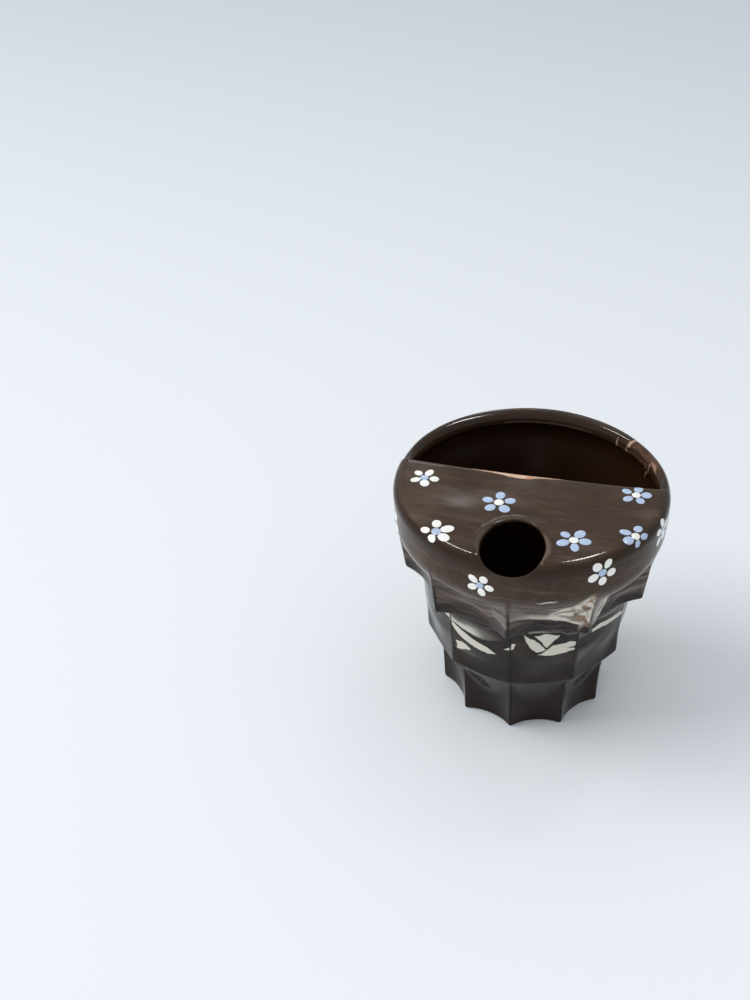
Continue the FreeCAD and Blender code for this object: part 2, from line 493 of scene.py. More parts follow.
def across_rim(y):
    """A row of spots over the rim, both sides, at one distance from the lid's edge."""
    walks = np.arange(38.4, SHELL_WALK[-1] - 0.4, 0.45)
    up = y * walks / np.interp(walks, SHELL_WALK, SHELL[:, 0])
    side = np.sqrt(walks ** 2 - up ** 2)
    return np.vstack([np.column_stack([side, up]), np.column_stack([-side, up])])


STEP_FROM, STEP_TO = LID_EDGE - 0.05, LID_EDGE + 0.4
shoulder_y = lay(shoulder_spots, SHELL_WALK, SHELL)[:, 1]
shoulder_spots = shoulder_spots[(shoulder_y < STEP_FROM - 0.45) | (shoulder_y > STEP_TO + 0.45)]
step_spots = np.vstack([across_rim(y) for y in (STEP_FROM - 0.15, STEP_FROM + 0.1,
                                                STEP_TO - 0.1, STEP_TO + 0.2)])
top_spots = np.vstack([step_spots, shoulder_spots, honeycomb(37.6, 1.15)])
print("spots for the top:", len(top_spots))

# %% [markdown]
# The filled top is laid back on its profile. Its first points are the wall's last ring again, so
# only the rest are added, and the faces are counted on to the right points.

# %% Top of the skin
top_flat, top_faces = fill([outer_loop, d_loop, sip_loop], top_spots, 0.45)
top_xyz = lay(top_flat, SHELL_WALK, SHELL)
d_first = len(outer_loop)
sip_first = d_first + len(d_loop)
sip_last = sip_first + len(sip_loop)
top_index = np.concatenate([wall_rings[-1], add(top_xyz[d_first:])])
faces_all.extend(tuple(int(top_index[i]) for i in face) for face in top_faces)
print("top:", len(top_faces), "triangles")

# %% [markdown]
# Both holes get soft lips: six rings bend from the top round the corner and down into the hole. On
# the open half the bend reaches deeper, because that rim was rolled inwards with a wet finger.

# %% Lips of both holes
LID_BEND, RIM_BEND_MORE, SIP_BEND = 1.5, 1.9, 1.7


def lip(ring, outer, corner_points, end, count=6):
    """Rings that bend from an outer ring round a corner to an end; returns the last one."""
    for share in np.linspace(0, 1, count + 1)[1:]:
        after = add((1 - share) ** 2 * outer + 2 * share * (1 - share) * corner_points
                    + share ** 2 * end)
        bridge(ring, after)
        ring = after
    return ring


roof = HOLLOW[HOLLOW[:, 1] > UNDER_LID - 2.4]
d_bottom_z = np.interp(np.hypot(*D_SPOTS.T), roof[:, 0], roof[:, 1])
d_edge = np.column_stack([D_SPOTS, np.full(len(D_SPOTS), HEIGHT)])
d_below = np.column_stack([D_SPOTS, HEIGHT - LID_BEND - RIM_BEND_MORE * on_rim])
d_foot = np.column_stack([D_SPOTS, d_bottom_z])
ring = lip(top_index[d_first:sip_first], top_xyz[d_first:sip_first], d_edge, d_below)
d_bottom = add(d_foot)
bridge(ring, d_bottom)

sip_corner = SIP_EDGE + 0.25 * SIP_AXIS
ring = lip(top_index[sip_first:sip_last], top_xyz[sip_first:sip_last], sip_corner,
           bore_line(edge_along - SIP_BEND))
sip_foot = bore_line(floor_along)
sip_bottom = add(sip_foot)
bridge(ring, sip_bottom)
print("points so far:", sum(len(p) for p in points_all))

# %% [markdown]
# The hollow closes the skin. Its roof, the underside of the lid, is unrolled and filled as the top
# was, and rings go down its wall to the floor. The slip leaves such a soft inside in a real mould.

# %% Hollow of the skin
HOLLOW_COLUMNS = 180
hollow_angles = np.linspace(0, 2 * math.pi, HOLLOW_COLUMNS, endpoint=False)
hollow_facing = np.column_stack([np.sin(hollow_angles), -np.cos(hollow_angles)])
start_walk = HOLLOW_WALK[np.abs(HOLLOW[:, 1] - 74.0).argmin()]
roof_loop = hollow_facing * start_walk
roof_d = peel(d_foot, HOLLOW_WALK, HOLLOW)
roof_sip = peel(sip_foot, HOLLOW_WALK, HOLLOW)
roof_spots = np.vstack([hollow_facing * walk for walk in np.arange(start_walk - 1.2, 37.0, -1.2)]
                       + [honeycomb(36.5, 1.8)])
roof_flat, roof_faces = fill([roof_loop, roof_d, roof_sip], roof_spots, 0.5)
roof_xyz = lay(roof_flat, HOLLOW_WALK, HOLLOW)
last_walk = HOLLOW_WALK[-1]
hollow_walks = np.append(np.arange(start_walk, last_walk - 1.0, 1.6), last_walk - 0.8)
hollow_rings = [add(lay(hollow_facing * start_walk, HOLLOW_WALK, HOLLOW))]
for walk in hollow_walks[1:]:
    radius = np.interp(walk, HOLLOW_WALK, HOLLOW[:, 0])
    z = np.interp(walk, HOLLOW_WALK, HOLLOW[:, 1])
    hollow_rings.append(add(np.column_stack([hollow_facing * radius,
                                             np.full(HOLLOW_COLUMNS, z)])))
bridge_all(hollow_rings)
close_ring(hollow_rings[-1], FLOOR)
free = roof_xyz[len(roof_loop) + len(roof_d) + len(roof_sip):]
roof_index = np.concatenate([hollow_rings[0], d_bottom, sip_bottom, add(free)])
faces_all.extend(tuple(int(roof_index[i]) for i in face) for face in roof_faces)

skin = np.vstack(points_all)
print("skin:", len(skin), "points,", len(faces_all), "faces")

# %% [markdown]
# The hollow is painted darker than the outside, a painted shade over its glaze. A share for each
# point, from 0 outside to 1 inside, will tell the shader where it is, and blends over half the lip of
# the open rim.

# %% Which points lie in the hollow
INSIDE_SHARE = np.zeros(len(skin))
INSIDE_SHARE[d_bottom - len(d_bottom)] = 0.5 * on_rim
INSIDE_SHARE[d_bottom] = 1
INSIDE_SHARE[sip_bottom[0]:] = 1
print("points inside:", int((INSIDE_SHARE == 1).sum()))

# %% [markdown]
# Hand work shows in small departures. The rim of the open half was sponged lower than the lid, so a
# small step crosses the rim at the lid's edge. The lid sank a little beside the sip hole, the lip of
# the hole stands up, and the whole cup leans by half a millimetre and isn't quite round.


# %% Hand work on the rim and the lid
def ease(share):
    share = np.clip(share, 0, 1)
    return share * share * (3 - 2 * share)


def dimple(points, x, y, wide, deep):
    """A soft dent in the lid, or a swelling where deep is negative."""
    away = np.hypot(points[:, 0] - x, points[:, 1] - y) / wide
    return -deep * ease(1 - away) * ease((points[:, 2] - 80.5) / 1.5)


SPONGED_LEFT, SPONGED_RIGHT, ROLLED = 0.8, 0.45, 0.8
sponged = np.where(skin[:, 0] < 0, SPONGED_LEFT, SPONGED_RIGHT)
sponged = sponged * ease(1 - (skin[:, 1] - LID_EDGE) / 16)
sponged = sponged * ease((skin[:, 1] - STEP_FROM) / (STEP_TO - STEP_FROM))
skin[:, 2] -= sponged * ease((skin[:, 2] - 77) / 6)
rolled = ease((skin[:, 1] - LID_EDGE) / 9) * ease((44.0 - np.hypot(skin[:, 0], skin[:, 1])) / 3.6)
skin[:, 2] -= ROLLED * rolled * ease((skin[:, 2] - 79) / 3)
skin[:, 2] += dimple(skin, -21, -9, 15, 0.55) + dimple(skin, 23, -14, 14, 0.2)
skin[:, 2] += dimple(skin, 0, -8, 12, -0.15)
from_bore = skin - SIP_CENTER
from_bore = np.linalg.norm(from_bore - (from_bore @ SIP_AXIS)[:, None] * SIP_AXIS, axis=1)
near_lip = ease(1 - np.abs(from_bore - SIP_RADIUS - 0.9) / 1.8) * (skin[:, 2] > 79)
skin += 0.3 * near_lip[:, None] * SIP_AXIS
print("deepest sponging:", round(float(sponged.max()), 2))

# %% [markdown]
# Clay moves as it dries. Ten slow waves in random directions make the skin uneven by a few tenths of
# a millimetre, and then the whole cup leans. The foot stays flat, so that it stands.

# %% Wobble and lean
RANDOM = np.random.default_rng(11)
WAVES, WAVE_HEIGHT = 10, 0.045
wobble = np.zeros_like(skin)
for _ in range(WAVES):
    wave = RANDOM.normal(size=3)
    wave *= 2 * math.pi / RANDOM.uniform(18, 45) / np.linalg.norm(wave)
    wobble += (np.sin(skin @ wave + RANDOM.uniform(0, 6.3))[:, None]
               * RANDOM.normal(size=3) * WAVE_HEIGHT)
skin += wobble * ease(skin[:, 2:] / 6)
LEAN = np.array([-0.65, -0.18, 0])
skin += LEAN * skin[:, 2:] / HEIGHT
print("largest wobble:", round(float(np.abs(wobble).max()), 2))

# %% [markdown]
# The numbers become a mesh. Blender turns all faces outwards, and a count of open edges shows at once
# whether the skin is closed: a fired cup has no gaps.


# %% Make the mesh
def mesh_from(name, points, faces):
    mesh = bpy.data.meshes.new(name)
    mesh.from_pydata((points * MM).tolist(), [], faces)
    work = bmesh.new()
    work.from_mesh(mesh)
    bmesh.ops.recalc_face_normals(work, faces=work.faces)
    open_edges = sum(not edge.is_manifold for edge in work.edges)
    work.to_mesh(mesh)
    work.free()
    mesh.polygons.foreach_set("use_smooth", [True] * len(mesh.polygons))
    print(name, "open edges:", open_edges)
    piece = bpy.data.objects.new(name, mesh)
    bpy.context.scene.collection.objects.link(piece)
    return piece


cup = mesh_from("cup_glazed", skin, faces_all)
inside_mask = cup.data.attributes.new("inside", "FLOAT", "POINT")
inside_mask.data.foreach_set("value", INSIDE_SHARE)

# %% [markdown]
# The clay is marbled: dark and cream slips were poured together, so cream leaves and streaks lie in
# it about half way up. A brown glaze covers the lid, the band and the hollow. The maths of such a
# pattern is easier to read as sums, so one small class turns Python's operators into Math nodes.


# %% Shader sums
class Flow:
    """A shader value. Sums on it add Math nodes, and make() adds any other node."""
    tree = None

    def __init__(self, socket):
        self.socket = socket

    @staticmethod
    def make(kind, settings=None, inputs=None, out=0):
        made = Flow.tree.nodes.new(kind)
        for name, value in (settings or {}).items():
            if name == "stops":
                line = made.mapping.curves[0].points
                line[0].location, line[-1].location = value[0], value[-1]
                for stop in value[1:-1]:
                    line.new(*stop)
                made.mapping.update()
            else:
                setattr(made, name, value)
        for key, value in (inputs or {}).items():
            if isinstance(value, Flow):
                Flow.tree.links.new(value.socket, made.inputs[key])
            else:
                made.inputs[key].default_value = value
        return Flow(made.outputs[out])

    @staticmethod
    def math(operation, *terms):
        return Flow.make("ShaderNodeMath", {"operation": operation}, dict(enumerate(terms)))

    def __add__(self, other):
        return Flow.math("ADD", self, other)

    def __radd__(self, other):
        return Flow.math("ADD", other, self)

    def __sub__(self, other):
        return Flow.math("SUBTRACT", self, other)

    def __rsub__(self, other):
        return Flow.math("SUBTRACT", other, self)

    def __mul__(self, other):
        return Flow.math("MULTIPLY", self, other)

    def __rmul__(self, other):
        return Flow.math("MULTIPLY", other, self)

    def __truediv__(self, other):
        return Flow.math("DIVIDE", self, other)

    def __rtruediv__(self, other):
        return Flow.math("DIVIDE", other, self)


# %% [markdown]
# A few helpers on top of it cover nearly all of a glaze: a soft step, a mix of two colours, a noise,
# and a colour typed as on a paint chart. Colours are turned from screen values to light here.


# %% Glaze helpers
def rise(value, low, high):
    """0 below low, 1 above high, and a smooth slope between."""
    return Flow.make("ShaderNodeMapRange", {"interpolation_type": "SMOOTHSTEP"},
                     {"Value": value, "From Min": low, "From Max": high})


def blend(share, a, b):
    return Flow.make("ShaderNodeMix", {"data_type": "RGBA"}, {0: share, 6: a, 7: b}, out=2)


def noise(vector, scale, detail, roughness=0.5, distortion=0.0, out=0):
    return Flow.make("ShaderNodeTexNoise", None,
                     {"Vector": vector, "Scale": scale, "Detail": detail,
                      "Roughness": roughness, "Distortion": distortion}, out)


def part(vector, letter):
    """One of a vector's three numbers."""
    return Flow.make("ShaderNodeSeparateXYZ", None, {0: vector}, letter)


def on_label(across, up):
    """A vector for a noise that is stretched differently along each axis."""
    return Flow.make("ShaderNodeCombineXYZ", None, {0: across, 1: up})


def paint_color(red, green, blue):
    """A colour typed as 0 to 255, as a paint chart gives it."""
    linear = [((c / 255 + 0.055) / 1.055) ** 2.4 for c in (red, green, blue)]
    return (*linear, 1.0)


print("glaze brown as light:", [round(c, 3) for c in paint_color(60, 44, 31)])

# %% [markdown]
# The pattern is laid out on the wall as on a label: one axis runs round the cup, the other runs up
# it. Each leaf of cream slip is a pointed oval there, at a bearing from the sip hole and a height.
# Noise bends the label a little first, so that no edge is drawn with a ruler.

# %% Coordinates of the pattern
glaze = bpy.data.materials.new("marbled_glaze")
glaze.use_nodes = True
Flow.tree = glaze.node_tree
place = Flow.make("ShaderNodeTexCoord", out="Object")
x, y, z = [part(place, letter) / MM for letter in "XYZ"]
LABEL_RADIUS = 36.0
bearing = Flow.math("ARCTAN2", x, y * -1.0)
around = bearing * LABEL_RADIUS


def waver(scale, detail):
    """Two noises around nought, one across and one up."""
    color = noise(place, scale, detail, out="Color")
    return [Flow.make("ShaderNodeSeparateColor", None, {0: color}, channel) - 0.5
            for channel in ("Red", "Green")]


drift_x, drift_y = waver(120.0, 1.0)
across, height = around + drift_x * 5.0, z + drift_y * 4.0
fine_x, fine_y = waver(420.0, 2.0)
fine_across, fine_height = around + fine_x * 1.3, z + fine_y * 1.1
print("one degree on the label:", round(math.radians(1) * LABEL_RADIUS, 2), "mm")


def tell(step):
    print(step + ": the glaze has", len(glaze.node_tree.nodes), "nodes")


# %% [markdown]
# Slip lies in pointed leaves, and in pools with a wandering edge above and below. A leaf is a sum. A
# pool's two edges are Float Curve nodes, whose stops are heights at even steps round the cup, so an
# edge can be drawn point by point until it looks right.


# %% Leaves and pools
def leaf(degrees, level, half_long, half_wide, tilt, bend=0.0, soft=0.16):
    """A pointed oval on the label."""
    c, s = math.cos(math.radians(tilt)), math.sin(math.radians(tilt))
    right = across - math.radians(degrees) * LABEL_RADIUS
    up = height - level
    along = (right * c + up * s) / half_long
    aside = (up * c - right * s) / half_wide
    if bend:
        aside = aside - along * along * bend
    return rise(1 - along * along - Flow.math("ABSOLUTE", aside), 0.0, soft)


def edge_line(start, end, heights):
    """A line on the label: heights at even steps from one bearing to another, joined smoothly."""
    low, high = min(heights) - 1, max(heights) + 1
    share = (fine_across / LABEL_RADIUS * math.degrees(1) - start) / (end - start)
    stops = [(i / (len(heights) - 1), (level - low) / (high - low))
             for i, level in enumerate(heights)]
    line = Flow.make("ShaderNodeFloatCurve", {"stops": stops}, {"Value": share})
    return line * (high - low) + low


def pool(start, end, top, bottom, soft_top=0.25, soft_bottom=0.25):
    """A pool of slip between two edge lines, and between two bearings in degrees."""
    left, right = math.radians(start) * LABEL_RADIUS, math.radians(end) * LABEL_RADIUS
    mask = rise(edge_line(start, end, top) - fine_height, 0.0, soft_top)
    mask = mask * rise(fine_height - edge_line(start, end, bottom), 0.0, soft_bottom)
    mask = mask * rise(fine_across, left, left + 0.2)
    return mask * (1 - rise(fine_across, right - 0.2, right))


def most(masks):
    total = masks[0]
    for mask in masks[1:]:
        total = Flow.math("MAXIMUM", total, mask)
    return total


# %% [markdown]
# The pools and leaves of cream slip on the front were placed one by one, and so were the thin dark
# cuts across them. Heights are in millimetres and bearings in degrees from the sip hole.

# %% Cream slip on the front
cream_leaves = most([
    pool(6.8, 18.5, [49.7, 48.5, 47.7, 47.05, 45.8, 44.2, 42.5],
         [49.5, 45.6, 43.1, 41.8, 41.25, 41.5, 42.4]),
    pool(12.2, 25.5, [49.1, 49.5, 49.95, 50.1, 49.6, 49.0, 48.7],
         [48.9, 47.5, 45.7, 43.2, 44.4, 46.4, 48.5], 0.5),
    pool(14.2, 35.2, [40.3, 40.9, 43.1, 44.3, 44.4, 44.55, 44.7, 43.4],
         [40.0, 39.6, 39.3, 39.2, 39.35, 39.6, 39.7, 40.2]),
    pool(-3.5, 2.6, [41.7, 42.3, 43.0, 44.9, 45.1], [41.5, 41.35, 41.5, 42.0, 44.5]),
    pool(-37, -8.0, [46.2, 44.6, 43.6, 42.6, 41.6, 41.1, 40.0, 38.3],
         [45.6, 41.3, 39.9, 38.8, 37.9, 37.35, 37.2, 38.1]),
    pool(-33.5, -23.5, [36.6, 37.1, 37.4, 37.1, 35.6], [33.1, 33.1, 33.8, 34.6, 35.4]),
    pool(45, 74, [46.6, 47.8, 47.0, 46.4, 45.3, 43.6], [45.2, 45.3, 44.8, 44.2, 43.3, 42.3]),
    pool(10, 20.5, [70.5, 70.9, 71.2, 70.8], [70.3, 69.7, 69.9, 70.5], 0.6, 0.6) * 0.8,
    pool(0.6, 36, [62.0, 61.4, 60.6, 60.0, 61.4, 65.8, 70.4, 72.2],
         [59.8, 58.9, 57.8, 57.2, 56.6, 56.1, 55.7, 55.4], 3.0, 0.5),
    leaf(43.6, 55.2, 4.4, 1.3, 66),
    leaf(47.5, 57.5, 3.4, 0.8, 50),
])
dark_leaves = most([
    leaf(16.0, 45.6, 4.6, 0.28, -48, 0.3),
    leaf(21.4, 45.4, 3.4, 0.25, 42),
    pool(29.5, 35.4, [41.85, 42.0, 42.2], [41.75, 41.2, 40.7]) * 0.8,
    leaf(26.0, 60.3, 5.0, 0.5, 30, 0.4) * 0.7,
    leaf(31.0, 60.8, 5.6, 0.6, 62, 0.3) * 0.6,
    leaf(30.0, 57.4, 5.0, 0.9, -10) * 0.6,
    leaf(-29, 44.6, 6.0, 0.4, -18, -0.3),
])
tell("cream slip")

# %% [markdown]
# Where the slips mixed in the pouring, the clay is grey. Grey pools have softer edges than cream ones,
# and a noise drawn out along the cup gives them veins.

# %% Grey slip on the front
grey_leaves = most([
    pool(-42, -3.8, [51.5, 51.0, 50.2, 50.8, 51.2, 50.7, 49.5, 47.4],
         [46.0, 45.4, 44.6, 43.9, 43.4, 43.2, 44.0, 45.8], 5.0, 0.7)
    * (1 - rise(around, -16.0, -2.0) * 0.75),
    pool(9.0, 36, [52.1, 52.1, 51.5, 50.7, 49.2, 48.4], [49.8, 50.3, 50.2, 49.5, 47.9, 47.2],
         1.0, 0.6) * 0.7,
    pool(0.4, 8, [66.0, 65.0, 62.0], [60.5, 60.0, 59.5], 3.0, 2.0) * 0.6,
    pool(-9, 0.0, [62.5, 61.5, 60.0], [57.4, 56.8, 55.5], 2.0, 2.0) * 0.6,
    pool(40, 55, [59.0, 63.0, 65.0, 66.0], [52.5, 53.5, 56.5, 61.0], 2.0, 2.0) * 0.8,
    pool(36, 46, [50.5, 49.0, 48.0], [44.0, 44.5, 45.0], 2.0, 1.5) * 0.45,
    pool(38, 56, [40.0, 40.5, 41.5, 42.5], [30.0, 33.0, 36.5, 40.0], 3.0, 3.0) * 0.3,
    pool(-34, -14, [38.0, 36.0, 34.5, 34.0], [31.0, 31.5, 31.5, 32.0], 2.0, 2.0) * 0.2,
    leaf(-52, 44.0, 7.0, 0.8, -20, 0.0, 0.9) * 0.6,
    leaf(-29.2, 33.5, 5.2, 1.2, -14, 0.0, 0.9) * 0.3,
    leaf(47, 63.5, 9.0, 1.6, 8, -0.3, 0.9) * 0.8,
    leaf(60, 57.0, 9.0, 0.9, 28, -0.3, 0.9) * 0.5,
    leaf(56, 50.0, 9.0, 1.2, -2, 0.0, 0.9) * 0.7,
    leaf(33.5, 57.5, 5.5, 2.0, 80, 0.0, 0.9) * 0.8,
])
veins = noise(on_label(across * 0.05, height * 0.85), 1.0, 5.0, roughness=0.6)
vein_zone = rise(height, 38.0, 44.0) * (1 - rise(height, 60.0, 68.0))
tell("grey slip")

# %% [markdown]
# Round the back nothing is known, so a stretched and distorted noise goes on with the same kind of
# marbling in the same zone. Then all of the cream and all of the grey are gathered.


# %% Slip all round
def stretched(scale, turn=0.0):
    """The cup's own coordinates, turned about its axis and scaled."""
    return Flow.make("ShaderNodeMapping", None,
                     {"Vector": place, "Rotation": (0, 0, turn), "Scale": scale})


known = rise(bearing, -1.9, -1.5) * (1 - rise(bearing, 1.2, 1.35))
swirl = noise(stretched((1.0, 1.0, 2.4)), 42.0, 3.0, roughness=0.45, distortion=2.2)
zone = rise(z, 36.0, 41.0) * (1 - rise(z, 56.0, 64.0)) * (1 - known)
cream = most([cream_leaves, rise(swirl, 0.56, 0.58) * zone]) * (1 - dark_leaves)
grey = most([grey_leaves * (0.7 + veins * 0.6),
             rise(veins, 0.58, 0.72) * vein_zone * 0.45,
             rise(swirl, 0.46, 0.56) * zone * 0.55])
tell("slip all round")

# %% [markdown]
# Under the glaze the clay is dark and mottled, and its colour grows darker towards the foot. Over the
# band and the lid lies a brown glaze, which thins in clouds and keeps fine lines from the brush. Each
# blend lays one more layer on the body colour, in the order in which a potter would see them.

# %% Clay and brown glaze
BROWN = paint_color(60, 44, 31)
CLAY_DARK, CLAY_LIGHT = paint_color(25, 18, 14), paint_color(52, 42, 36)
CLAY_FOOT = paint_color(29, 16, 10)
THIN_GLAZE, CLOUDED_GLAZE = paint_color(112, 92, 76), paint_color(96, 78, 64)
inside = Flow.make("ShaderNodeAttribute", {"attribute_name": "inside"}, None, "Fac")
grain = noise(stretched((0.12, 1.0, 0.3), turn=0.12), 1500.0, 3.0)
cloud = noise(place, 45.0, 3.0)
flecks = noise(place, 330.0, 3.0)
mottle = noise(place, 70.0, 5.0, roughness=0.65)
brushed = rise(z, 66.0, 72.0)
dark_clay = blend(rise(mottle, 0.35, 0.7), CLAY_DARK, CLAY_LIGHT)
dark_clay = blend((1 - rise(z, 20.0, 36.0)) * 0.6, dark_clay, CLAY_FOOT)
body = blend(rise(height, 61.0, 68.0), dark_clay, BROWN)
body = blend(rise(grain, 0.35, 0.7) * brushed * 0.14, body, THIN_GLAZE)
body = blend(rise(cloud, 0.45, 0.75) * brushed * 0.5, body, CLOUDED_GLAZE)
tell("clay and brown glaze")

# %% [markdown]
# The lid was brushed in slanting sweeps. Painted shade darkens the lid round the sip hole, and a thin
# light ring on its lip, stronger on the right and front, is a painted highlight.

# %% Brush marks, painted shade and painted highlight on the lid
SWEEP_LIGHT, SWEEP_DARK = paint_color(106, 93, 82), paint_color(50, 36, 26)
HOLE_SHADE, LIP_SHEEN = paint_color(44, 30, 20), paint_color(118, 100, 86)
on_lid = rise(z, 82.6, 84.2)
swept = noise(stretched((0.3, 1.3, 1.0), turn=-0.45), 110.0, 5.0, roughness=0.6, distortion=0.6)
body = blend(rise(swept, 0.5, 0.72) * on_lid * 0.45, body, SWEEP_LIGHT)
body = blend(rise(swept, 0.5, 0.3) * on_lid * 0.6, body, SWEEP_DARK)
hole_x, hole_y = x + 0.6, y + 34.6
to_hole = Flow.math("SQRT", hole_x * hole_x + hole_y * hole_y * 1.15)
# painted shade round the sip hole
body = blend((1 - rise(to_hole, 10.0, 13.5)) * on_lid * 0.6, body, HOLE_SHADE)
# painted highlight: a light ring on the hole's lip
lip_sheen_ring = rise(to_hole, 9.8, 10.4) * (1 - rise(to_hole, 10.9, 12.2)) * rise(z, 79.5, 80.5)
body = blend(lip_sheen_ring * (0.3 + rise(x - y, 26.0, 40.0) * 0.3), body, LIP_SHEEN)
tell("lid")

# %% [markdown]
# On the band the brush went round the cup, so its strokes follow the label. Just under the shoulder
# the glaze is painted darker, a painted shade.

# %% Brush marks and painted shade on the band
STROKE_LIGHT, STROKE_DARK = paint_color(108, 90, 78), paint_color(46, 31, 20)
SHOULDER_SHADE = paint_color(42, 28, 18)
on_band = rise(z, 63.0, 68.0) * (1 - rise(z, 82.0, 84.2))
strokes = noise(on_label(around * 0.05, height * 0.7 + around * 0.06), 1.0, 4.0, roughness=0.65)
body = blend(rise(strokes, 0.5, 0.72) * on_band * 0.6, body, STROKE_LIGHT)
body = blend(rise(strokes, 0.5, 0.3) * on_band * 0.5, body, STROKE_DARK)
# painted shade just under the shoulder
shoulder = rise(z, 76.0, 81.5) * (1 - rise(z, 83.6, 84.4))
body = blend(shoulder * (0.35 + cloud * 0.8), body, SHOULDER_SHADE)
tell("band")

# %% [markdown]
# In the upper tier the slips lie in thin layers that follow each flute up to its ridges. A panel is
# one flute wide, and the square of the distance from its middle lifts the layers at its sides. The
# grey and the cream go over them. Each ridge of the lower tiers gets a dark, duller line.

# %% Layers of slip
FADED_SLIP, ROSE_SLIP = paint_color(84, 72, 64), paint_color(134, 119, 109)
GREY, PALE_GREY = paint_color(132, 126, 118), paint_color(206, 203, 192)
CREAM, TAN = paint_color(214, 208, 194), paint_color(140, 112, 88)
MIXED_SLIP, CREST_DARK = paint_color(128, 115, 103), paint_color(16, 11, 9)
to_ridge = Flow.math("ABSOLUTE", Flow.math("FRACT", bearing / PITCH) - 0.5) * 2
layers = height - to_ridge * to_ridge * 3.0
layers = noise(on_label(across * 0.045, layers * 0.42), 1.0, 4.0, roughness=0.6)
layer_zone = rise(height, 55.0, 58.0) * (1 - rise(height, 63.0, 71.0))
body = blend(layer_zone * 0.55, body, FADED_SLIP)
body = blend(rise(layers, 0.4, 0.66) * layer_zone * 0.8, body, ROSE_SLIP)
grey_slip = blend(rise(grey * (0.6 + layers * 0.8), 0.55, 0.98), GREY, PALE_GREY)
body = blend(grey, body, grey_slip)
tan_share = rise(flecks, 0.44, 0.6) * rise(around, 16.0, 20.0) * rise(z, 50.0, 54.0)
mixed_share = rise(around, 9.0, 0.0) * rise(around, -3.0, 0.0) * rise(z, 55.0, 57.0)
slip = blend(mixed_share * 0.75, blend(tan_share, CREAM, TAN), MIXED_SLIP)
body = blend(cream, body, slip)
crest_line = rise(to_ridge, 0.955, 0.985) * (1 - rise(z, 60.0, 66.0)) * (1 - inside)
body = blend(crest_line * 0.9, body, CREST_DARK)
tell("layers of slip")

# %% [markdown]
# The hollow is painted darkest, a painted shade, and a little lighter on its right, a painted light.
# On the rim beside it the glaze is worn: it is reddish along one stretch, and pale clay shows in small
# marks.

# %% Painted shade in the hollow, and worn rim
INSIDE_SHADE, INSIDE_LIT = paint_color(36, 21, 11), paint_color(66, 44, 28)
WORN_GLAZE, WORN_CLAY = paint_color(150, 108, 80), paint_color(200, 164, 138)
# painted shade in the hollow, with painted light on its right side
inside_shade_color = blend(rise(cloud, 0.45, 0.7) * rise(x, -10.0, 45.0), INSIDE_SHADE, INSIDE_LIT)
body = blend(inside, body, inside_shade_color)
marks = most([
    leaf(134, 83.3, 1.3, 1.3, 75, 0.0, 0.8),
    leaf(135.5, 80.6, 2.6, 0.4, 88, 0.0, 0.6) * 0.7,
    leaf(141, 80.8, 2.2, 0.35, 84, 0.0, 0.5) * 0.6,
    leaf(114, 82.6, 3.4, 0.8, 8, 0.0, 0.9) * 0.6,
    leaf(118, 81.0, 3.0, 0.35, 92, 0.0, 0.6) * 0.7,
    leaf(122, 79.0, 4.0, 0.4, 84, 0.0, 0.6) * 0.4,
])
worn = leaf(126, 82.6, 15.0, 2.6, -4, 0.0, 0.9) * rise(strokes, 0.4, 0.6)
body = blend(worn * 0.3, body, WORN_GLAZE)
body = blend(marks * 0.8, body, WORN_CLAY)
tell("hollow and worn rim")

# %% [markdown]
# Along the lid's straight edge the glaze was wiped away, and raw clay shows in a strip that is widest
# left of the middle. Its depth along the edge is one more Float Curve. Raw clay is rough, so the same
# mask will dull the gloss there.

# %% Raw clay on the lid's edge
RAW_CLAY, RAW_SPECK = paint_color(226, 192, 166), paint_color(205, 150, 112)
STRIP_FROM, STRIP_LENGTH, STRIP_DEPTH = -31.0, 51.0, 4.8
STRIP_STOPS = [(0, 0), (0.2, 0.2), (0.25, 0.34), (0.34, 0.48), (0.43, 0.58), (0.49, 0.7),
               (0.56, 0.68), (0.64, 0.45), (0.72, 0.36), (0.79, 0.25), (1, 0)]
edge_y = LID_EDGE - LID_SAG + (x / 38.0) * (x / 38.0) * LID_SAG
strip = Flow.make("ShaderNodeFloatCurve", {"stops": STRIP_STOPS},
                  {"Value": (x - STRIP_FROM) / STRIP_LENGTH + drift_x * 0.1}) * STRIP_DEPTH
cut = rise(y - edge_y + strip, 0.2, 0.6) * rise(strip, 0.02, 0.2) * rise(z, 80.0, 81.0)
cut = cut * (1 - rise(y, LID_EDGE + 0.5, LID_EDGE + 1))
raw = blend(rise(flecks, 0.45, 0.6), RAW_CLAY, RAW_SPECK)
body = blend(cut * (0.8 + flecks * 0.3), body, raw)
tell("raw clay")

# %% [markdown]
# The finish is glossy, with a trace of the brush in it. It is duller in the hollow, on the ridges and
# on the raw clay.

# %% Finish of the glaze
shader = glaze.node_tree.nodes["Principled BSDF"]
gloss_loss = 0.07 + grain * 0.06 + cut * 0.5 + inside * 0.15 + crest_line * 0.35
glaze.node_tree.links.new(body.socket, shader.inputs["Base Color"])
glaze.node_tree.links.new(gloss_loss.socket, shader.inputs["Roughness"])
shader.inputs["Specular IOR Level"].default_value = 0.2
cup.data.materials.append(glaze)
tell("finish")

# %% [markdown]
# The dressed cup now takes the place of the plain solid and rides on the part's one body.

# %% Take the solid's place
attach(cup, "root")
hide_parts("cup")
print("pieces so far:", cup.name)

# %% [markdown]
# Small five-petal flowers are dotted on by hand over the lid and the band: a touch of thick colour
# for each petal and one for the heart. Geometry Nodes set the petals round the heart, each turned
# and sized a little differently.

